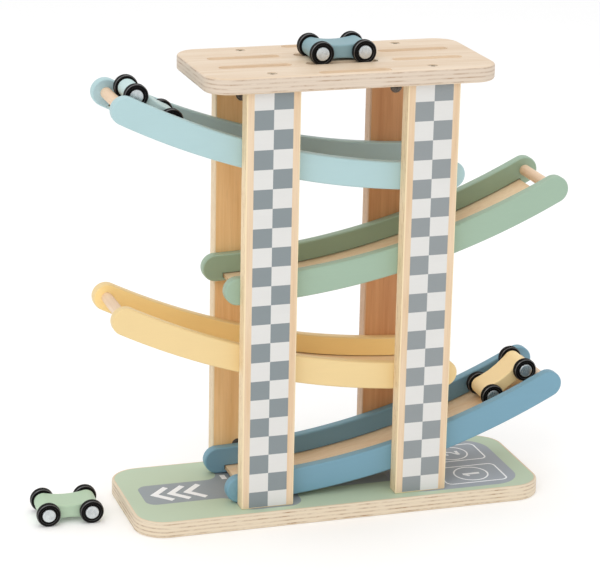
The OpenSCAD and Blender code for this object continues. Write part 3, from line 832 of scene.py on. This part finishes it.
class TRACK_OT_posts(bpy.types.Operator):
    """Make the four posts with the check print on their outer faces"""
    bl_idname = "track.posts"
    bl_label = "Posts"

    def execute(self, context):
        sizes = context.scene.track_sizes
        for name in POSTS:
            low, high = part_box(name)
            front = name.startswith("front")
            outward = -1.0 if front else 1.0
            grey = "check_pale_grey" if "right" in name else "check_grey"
            # The rear right post's ply tones carry painted shade.
            plies = "front_plies" if front else name.replace("post", "plies")
            materials = [post_wood(context, name), ink(context, "check_white"), ink(context, grey),
                         ply_edge(context, plies, low.y, STACKED_ALONG_Y), cut_wood(context),
                         post_wood(context, POSTS[0])]
            set_down(self.post(sizes, low, high, outward), name + "_wood", materials, name,
                     self.nut_holes(sizes, low, high, outward), POST_CUT)
        return {"FINISHED"}

    def nut_holes(self, sizes, low, high, outward):
        """Round holes for the barrel nuts, open at a post's inner face."""
        inner_y = high.y if outward < 0 else low.y
        bm = bmesh.new()
        for z in (low.z + sizes.nut_inset, high.z - sizes.nut_inset):
            place = Matrix.Translation(((low.x + high.x) / 2, inner_y, z)) @ ACROSS
            cylinder(bm, sizes.nut_hole, 2 * sizes.nut_hole_depth, place)
        return bm

    def post(self, sizes, low, high, outward):
        """A post whose outer face is divided into two columns of checks and two bare margins."""
        end_row = (high.z - low.z - (CHECK_ROWS - 2) * sizes.check) / 2
        levels = [low.z + end_row + row * sizes.check for row in range(CHECK_ROWS - 1)]
        levels = [low.z] + levels + [high.z]
        middle = (low.x + high.x) / 2
        columns = [low.x, middle - sizes.check, middle, middle + sizes.check, high.x]
        across, along = len(columns) - 1, len(levels) - 1
        face_y = low.y if outward < 0 else high.y
        bm = bmesh.new()
        for vert in bmesh.ops.create_grid(bm, x_segments=across, y_segments=along, size=0.5)["verts"]:
            column = round((vert.co.x + 0.5) * across)
            level = round((vert.co.y + 0.5) * along)
            vert.co = (columns[column], face_y, levels[level])
        for face in bm.faces:
            centre = face.calc_center_median()
            if abs(centre.x - middle) < sizes.check:
                row = sum(level > centre.z for level in levels)
                left = (centre.x - middle) * -outward < 0
                face.material_index = POST_WHITE if (row % 2 == 1) == left else POST_GREY
        thicken(bm, bm.faces, (0.0, -outward * (high.y - low.y), 0.0))
        for face in bm.faces:
            if abs(face.calc_center_median().y - face_y) > SAME_PLANE:
                face.material_index = POST_WOOD
        bmesh.ops.recalc_face_normals(bm, faces=bm.faces)
        round_edges(bm, sharp_edges(bm), sizes.post_edge, segments=3)
        # Outer margins keep the front posts' pine; the inner faces keep the post's own tone, which on the rear
        # posts carries painted shade.
        for face in bm.faces:
            if abs(face.normal.y) < SQUARE_ON:
                face.material_index = POST_EDGE
            elif face.material_index == POST_WOOD and face.normal.y * outward > 0:
                face.material_index = POST_MARGIN
        return bm


def ramp_middle(sizes):
    """The radius of the middle of the rails' height."""
    return sizes.ramp_radius - sizes.rail_height / 2


def ramp_frame(sizes, ramp):
    """The axis of a ramp's arc and the side of its high end, from its stop rod."""
    low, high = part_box(f"ramp_{ramp}_stop_rod")
    side = 1.0 if low.x > 0 else -1.0
    rod = (low + high) / 2
    axis = Vector((rod.x - side * ramp_middle(sizes) * math.sin(sizes.high_angle), 0.0,
                   rod.z + ramp_middle(sizes) * math.cos(sizes.high_angle)))
    return axis, side


def outward_at(side, turn):
    """The direction away from a ramp's axis at an angle along its arc."""
    return Vector((side * math.sin(turn), 0.0, -math.cos(turn)))


class TRACK_OT_ramps(bpy.types.Operator):
    """Make the four ramps: painted rails, plywood floors and stop rods"""
    bl_idname = "track.ramps"
    bl_label = "Ramps"

    def execute(self, context):
        sizes = context.scene.track_sizes
        for ramp in RAMPS:
            # The second coat goes on the faces that look into the channel and carries painted light and shade.
            coats = [paint(context, PAINT_OF_RAMP[ramp]), paint(context, PAINT_OF_RAMP[ramp] + "_inside")]
            for end in ("front", "rear"):
                rail = f"ramp_{ramp}_{end}_rail"
                set_down(self.rail(sizes, ramp, rail), rail + "_painted", coats, rail, self.slot(sizes, ramp),
                         RAIL_CHANNEL_PAINTED_LIGHT)
            floor = f"ramp_{ramp}_floor"
            edge = wood(context, "Floor ply edge", "floor_edge", streaks=0.9, bump=0.3)
            set_down(self.floor(sizes, ramp), floor + "_ply", [birch(context, "floor_birch"), edge], floor)
            rod = f"ramp_{ramp}_stop_rod"
            set_down(self.rod(sizes, rod), rod + "_turned", [rod_wood(context)], rod)
        return {"FINISHED"}

    def section(self, bm, axis, out, radius, middle_y, size, corner):
        """The section of a rail or floor, set square across the ramp's arc. Returns its face."""
        across = Vector((0.0, 1.0, 0.0))
        place = Matrix((out, across, out.cross(across))).transposed().to_4x4()
        place.translation = axis + out * radius + across * middle_y
        return rounded_sheet(bm, size, corner, place, segments=4)

    def rail(self, sizes, ramp, node):
        """A rail swept along the ramp's arc, with round ends."""
        axis, side = ramp_frame(sizes, ramp)
        low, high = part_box(node)
        middle_y = (low.y + high.y) / 2
        bm = bmesh.new()
        face = self.section(bm, axis, outward_at(side, sizes.low_angle), ramp_middle(sizes), middle_y,
                            (sizes.rail_height, sizes.rail_thickness), sizes.rail_edge)
        long_sides = [edge for edge in face.edges if edge.calc_length() > sizes.rail_height / 2]
        bmesh.ops.delete(bm, geom=[face], context="FACES_ONLY")
        bmesh.ops.subdivide_edges(bm, edges=long_sides, cuts=1)
        low_loop = list(bm.edges)
        turn = Vector((0.0, -side, 0.0))
        swept = bmesh.ops.spin(bm, geom=low_loop + list(bm.verts), cent=axis, axis=turn,
                               angle=sizes.high_angle - sizes.low_angle, steps=72)["geom_last"]
        high_loop = [item for item in swept if isinstance(item, bmesh.types.BMEdge)]
        self.round_end(bm, sizes, high_loop, axis, outward_at(side, sizes.high_angle), turn)
        self.round_end(bm, sizes, low_loop, axis, outward_at(side, sizes.low_angle), -turn)
        bmesh.ops.remove_doubles(bm, verts=bm.verts, dist=RAIL_END_GAP)
        bmesh.ops.recalc_face_normals(bm, faces=bm.faces)
        # Faces that look into the channel take the coat with painted light and shade.
        inward = -math.copysign(1.0, middle_y)
        for face in bm.faces:
            face.material_index = RAIL_CHANNEL_PAINTED_LIGHT if face.normal.y * inward > FACING else RAIL_OUTSIDE
        return bm

    def round_end(self, bm, sizes, loop, axis, out, turn):
        """Turns the lower half of a rail's end section half a turn about the middle of the end."""
        middle = ramp_middle(sizes)
        half = [edge for edge in loop
                if all((vert.co - axis).xz.length > middle - HALF_SECTION_GAP for vert in edge.verts)]
        verts = list(dict.fromkeys(vert for edge in half for vert in edge.verts))
        bmesh.ops.spin(bm, geom=half + verts, cent=axis + out * middle, axis=turn, angle=math.pi, steps=20)

    def slab(self, sizes, ramp, ends, radii, width, corner):
        """A closed sheet along a ramp's arc, between two angles and two radii, centred across the track."""
        axis, side = ramp_frame(sizes, ramp)
        (start, end), (inner, outer) = ends, radii
        bm = bmesh.new()
        size = (outer - inner, width)
        face = self.section(bm, axis, outward_at(side, start), (inner + outer) / 2, 0.0, size, corner)
        bmesh.ops.spin(bm, geom=[face] + list(face.edges) + list(face.verts), cent=axis,
                       axis=(0.0, -side, 0.0), angle=end - start, steps=64)
        bmesh.ops.remove_doubles(bm, verts=bm.verts, dist=MERGE_GAP)
        bmesh.ops.recalc_face_normals(bm, faces=bm.faces)
        return bm

    def floor_room(self, sizes, ramp):
        """The angles of a floor's low and high ends, its upper and lower radius, and its width."""
        axis = ramp_frame(sizes, ramp)[0]
        low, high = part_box(f"ramp_{ramp}_floor")
        under = sizes.ramp_radius - sizes.floor_lift
        top = under - sizes.floor_thickness
        near, far = sorted((abs(low.x - axis.x), abs(high.x - axis.x)))
        return (math.asin(near / top), math.asin(far / under)), (top, under), high.y - low.y

    def floor(self, sizes, ramp):
        """A floor, whose cut edges have a slot of their own."""
        axis = ramp_frame(sizes, ramp)[0]
        ends, radii, width = self.floor_room(sizes, ramp)
        bm = self.slab(sizes, ramp, ends, radii, width, sizes.floor_edge)
        for face in bm.faces:
            inward = axis - face.calc_center_median()
            inward.y = 0.0
            flat = abs(face.normal.dot(inward.normalized())) > FACING
            face.material_index = BOARD_FACE if flat else BOARD_EDGE
        return bm

    def slot(self, sizes, ramp):
        """The room for a floor in its rails, with an open gap above it and at its ends."""
        (start, end), (top, under), width = self.floor_room(sizes, ramp)
        play = sizes.slot_play / under
        ends = (start - play, end + play)
        radii = (top - sizes.slot_play, under + SLOT_MARGIN)
        return self.slab(sizes, ramp, ends, radii, width + 2 * SLOT_MARGIN, corner=0.0)

    def rod(self, sizes, node):
        """A stop rod with softened ends."""
        low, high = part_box(node)
        bm = bmesh.new()
        place = Matrix.Translation((low + high) / 2) @ ACROSS
        cylinder(bm, (high.x - low.x) / 2, high.y - low.y, place, segments=40)
        round_edges(bm, sharp_edges(bm), sizes.rod_edge, segments=2)
        return bm


def car_frame(car):
    """A car's own frame: origin between its axles, X from the leading to the trailing axle, Z up."""
    lead = JOINTS[f"car_{car}_leading_spin"]
    trail = JOINTS[f"car_{car}_trailing_spin"]
    front, rear = Vector(lead["pos_m"]), Vector(trail["pos_m"])
    along = (rear - front).normalized()
    across = Vector(lead["axis"]).normalized()
    place = Matrix((along, across, along.cross(across))).transposed().to_4x4()
    place.translation = (front + rear) / 2
    return place, (rear - front).length


class TRACK_OT_cars(bpy.types.Operator):
    """Make the four cars: painted bodies, black wheels and bright axle caps"""
    bl_idname = "track.cars"
    bl_label = "Cars"

    def execute(self, context):
        sizes = context.scene.track_sizes
        blacks = [wheel_plastic(context, "Wheel black", specular=0.02, coat=0.0),
                  wheel_plastic(context, "Wheel ring", specular=1.0, coat=1.0)]
        bright = metal(context, "cap_metal", metallic=0.85)
        for car in CARS:
            place, base = car_frame(car)
            axles = {"front": place @ Matrix.Translation((-base / 2, 0.0, 0.0)),
                     "rear": place @ Matrix.Translation((base / 2, 0.0, 0.0))}
            body = f"car_{car}_body"
            coat = paint(context, PAINT_OF_CAR[car])
            set_down(self.body(sizes, place, base), body + "_painted", [coat], body,
                     self.axle_bores(sizes, axles.values()))
            for end, at_axle in axles.items():
                wheels = f"car_{car}_{end}_wheels"
                set_down(self.pair(self.wheel, at_axle), wheels + "_moulded", blacks, wheels)
                caps = f"car_{car}_{end}_caps"
                set_down(self.pair(self.cap, at_axle), caps + "_turned", [bright], caps)
        return {"FINISHED"}

    def body(self, sizes, place, base):
        """Two round ends and a waist, drawn as arcs and thickened across the car."""
        end, waist, half_base = sizes.car_end, sizes.car_waist / 2, base / 2
        waist_radius = (half_base ** 2 + waist ** 2 - end ** 2) / (2 * (end - waist))
        lean = math.atan2(half_base, waist_radius + waist)
        bm = bmesh.new()
        for side in (-1.0, 1.0):
            start = Vector((side * (half_base - end * math.sin(lean)), 0.0, side * end * math.cos(lean)))
            arcs = (((side * half_base, 0.0, 0.0), math.pi + 2 * lean, 28),
                    ((0.0, 0.0, side * (waist_radius + waist)), 2 * lean, 16))
            for centre, turn, steps in arcs:
                bmesh.ops.spin(bm, geom=[bm.verts.new(start)], cent=centre, axis=(0.0, 1.0, 0.0), angle=turn,
                               steps=steps)
        bmesh.ops.remove_doubles(bm, verts=bm.verts, dist=MERGE_GAP)
        face = bmesh.ops.contextual_create(bm, geom=list(bm.edges))["faces"][0]
        bmesh.ops.translate(bm, vec=(0.0, -sizes.car_width / 2, 0.0), verts=bm.verts)
        thicken(bm, [face], (0.0, sizes.car_width, 0.0))
        bmesh.ops.recalc_face_normals(bm, faces=bm.faces)
        rims = [rim for rim in bm.edges if abs(rim.verts[0].co.y - rim.verts[1].co.y) < LEVEL]
        round_edges(bm, rims, sizes.car_edge, segments=4)
        bmesh.ops.transform(bm, matrix=place, verts=bm.verts)
        return bm

    def axle_bores(self, sizes, axles):
        """Bores right through a body, to be cut for its axles."""
        bm = bmesh.new()
        for at_axle in axles:
            cylinder(bm, sizes.axle_bore, BORE_LENGTH, at_axle @ ACROSS)
        return bm

    def pair(self, maker, at_axle):
        """The same turned piece on both ends of an axle."""
        bm = bmesh.new()
        for turn in (0.0, math.pi):
            layer = maker()
            bmesh.ops.transform(layer, matrix=at_axle @ Matrix.Rotation(turn, 4, "Z"), verts=layer.verts)
            join(bm, layer)
        return bm

    def turned(self, outline, rounded, steps):
        """Turns an outline of radius and distance along Y about Y, after rounding some of its corners.

        Each rounding is the corner's place in the outline, its radius and its number of segments.
        """
        bm = bmesh.new()
        verts = [bm.verts.new((radius, along, 0.0)) for radius, along in outline]
        bm.faces.new(verts)
        for index, radius, segments in rounded:
            round_corners(bm, [verts[index]], radius, segments)
        bmesh.ops.delete(bm, geom=bm.faces[:], context="FACES_ONLY")
        bmesh.ops.spin(bm, geom=list(bm.edges) + list(bm.verts), cent=(0.0, 0.0, 0.0), axis=(0.0, 1.0, 0.0),
                       angle=2 * math.pi, steps=steps, use_merge=True)
        bmesh.ops.remove_doubles(bm, verts=bm.verts, dist=MERGE_GAP)
        bmesh.ops.delete(bm, geom=[edge for edge in bm.edges if edge.is_wire], context="EDGES")
        return bm

    def wheel(self):
        """A wheel with a rounded tread, and a step and a recess for its cap in the outer face."""
        tread, inner, outer = mm(8.85, 12.4, 17.6)
        bore, recess, recess_floor = mm(1.55, 5.2, 15.6)
        step_top, step_foot, step_depth = mm(1.5, 1.3, 0.25)
        shoulder, lip = mm(1.3, 0.2)
        step = outer - step_depth
        outline = [(bore, inner), (tread, inner), (tread, outer), (recess + step_top, outer),
                   (recess + step_foot, step), (recess, step), (recess, recess_floor), (bore, recess_floor)]
        bm = self.turned(outline, [(5, lip, 2), (2, shoulder, 6), (1, shoulder, 6)], steps=64)
        bmesh.ops.recalc_face_normals(bm, faces=bm.faces)
        for face in bm.faces:
            face.material_index = WHEEL_RING if RING_LEAST < abs(face.normal.y) < RING_MOST else WHEEL_MATT
        return bm

    def cap(self):
        """An axle cap with a slightly crowned face and a rounded rim."""
        rim, inner, outer = mm(4.9, 15.9, 18.0)
        crown, crown_width, rim_radius = mm(0.05, 0.9, 0.35)
        outline = [(0.0, inner), (rim, inner), (rim, outer - crown), (rim - crown_width, outer), (0.0, outer)]
        return self.turned(outline, [(2, rim_radius, 3)], steps=48)


class TRACK_OT_fasteners(bpy.types.Operator):
    """Finish the bolts, barrel nuts, dowels and axles, which keep their own shapes"""
    bl_idname = "track.fasteners"
    bl_label = "Fasteners"

    def execute(self, context):
        steel = metal(context, "plated_steel", metallic=1.0)
        nut = metal(context, "nut_steel", metallic=0.35)
        pin = rod_wood(context)
        finishes = {"top_bolts": steel, "base_bolts": steel, "barrel_nuts": nut, "rail_pins": pin}
        for car in CARS:
            for end in ("front", "rear"):
                finishes[f"car_{car}_{end}_axle"] = steel
        for node, finish in finishes.items():
            for slot in frame["nodes"][node].material_slots:
                slot.material = finish
        return {"FINISHED"}


class TRACK_OT_stage(bpy.types.Operator):
    """Set up the pale floor, the soft light and the camera"""
    bl_idname = "track.stage"
    bl_label = "Stage"

    def execute(self, context):
        scene = context.scene
        scene.view_settings.view_transform = "Standard"
        self.floor()
        self.world(scene)
        for name, settings in LIGHTS.items():
            self.light(scene, name, **settings)
        self.camera(scene)
        return {"FINISHED"}

    def floor(self):
        """A wide pale floor that glows a little, so that shadows stay soft."""
        bm = bmesh.new()
        bmesh.ops.create_grid(bm, x_segments=1, y_segments=1, size=FLOOR_REACH)
        floor = link_mesh(bm, "floor")
        values = {"Colour": FLOOR_COLOUR, "Mottle": 0.01, "Gloss": 0.8}
        white = surface("Studio floor", "Paint film", values, bump=0.0, specular=0.1)
        feed(white.node_tree, white.node_tree.nodes["Principled BSDF"],
             {"Emission Color": WHITE, "Emission Strength": FLOOR_GLOW})
        floor.data.materials.append(white)

    def world(self, scene):
        """Even white light from all round."""
        world = bpy.data.worlds.new("Studio")
        world.use_nodes = True
        feed(world.node_tree, world.node_tree.nodes["Background"], {"Color": WHITE, "Strength": SKY_STRENGTH})
        scene.world = world

    def light(self, scene, name, place, aim, size, power):
        """A square soft light that looks at its aim."""
        data = bpy.data.lights.new(name, "AREA")
        data.shape = "SQUARE"
        data.size = size
        data.energy = power
        lamp = bpy.data.objects.new(name, data)
        lamp.location = place
        lamp.rotation_euler = (Vector(aim) - Vector(place)).to_track_quat("-Z", "Y").to_euler()
        scene.collection.objects.link(lamp)

    def camera(self, scene):
        """The camera at the photograph's viewing angle."""
        data = bpy.data.cameras.new("Camera")
        data.sensor_fit = "HORIZONTAL"
        data.sensor_width = CAMERA_SENSOR
        data.lens = CAMERA_LENS
        data.clip_end = CAMERA_FAR
        camera = bpy.data.objects.new("Camera", data)
        place = Matrix((CAMERA_RIGHT, CAMERA_UP, CAMERA_BACK)).transposed().to_4x4()
        place.translation = CAMERA_PLACE
        camera.matrix_world = place
        scene.collection.objects.link(camera)
        scene.camera = camera


class TRACK_PT_panel(bpy.types.Panel):
    """The track's pieces, in the order that they are made, and its sizes and colours"""
    bl_idname = "TRACK_PT_panel"
    bl_label = "Click clack track"
    bl_space_type = "VIEW_3D"
    bl_region_type = "UI"
    bl_category = "Track"

    def draw(self, context):
        for operator in OPERATORS:
            self.layout.operator(operator.bl_idname)
        for group in (context.scene.track_sizes, context.scene.track_colours):
            for key in group.__annotations__:
                self.layout.prop(group, key)


OPERATORS = (TRACK_OT_base_board, TRACK_OT_top_board, TRACK_OT_posts, TRACK_OT_ramps, TRACK_OT_cars,
             TRACK_OT_fasteners, TRACK_OT_stage)
CLASSES = (TrackSizes, TrackColours) + OPERATORS + (TRACK_PT_panel,)


def register():
    """Registers the classes and gives every scene the track's sizes and colours."""
    for cls in CLASSES:
        bpy.utils.register_class(cls)
    bpy.types.Scene.track_sizes = bpy.props.PointerProperty(type=TrackSizes)
    bpy.types.Scene.track_colours = bpy.props.PointerProperty(type=TrackColours)


def unregister():
    """Takes back what register did."""
    del bpy.types.Scene.track_colours
    del bpy.types.Scene.track_sizes
    for cls in reversed(CLASSES):
        bpy.utils.unregister_class(cls)


def main():
    """Makes the track and its stage."""
    register()
    bpy.ops.track.base_board()
    bpy.ops.track.top_board()
    bpy.ops.track.posts()
    bpy.ops.track.ramps()
    bpy.ops.track.cars()
    bpy.ops.track.fasteners()
    bpy.ops.track.stage()


if __name__ == "__main__":
    main()
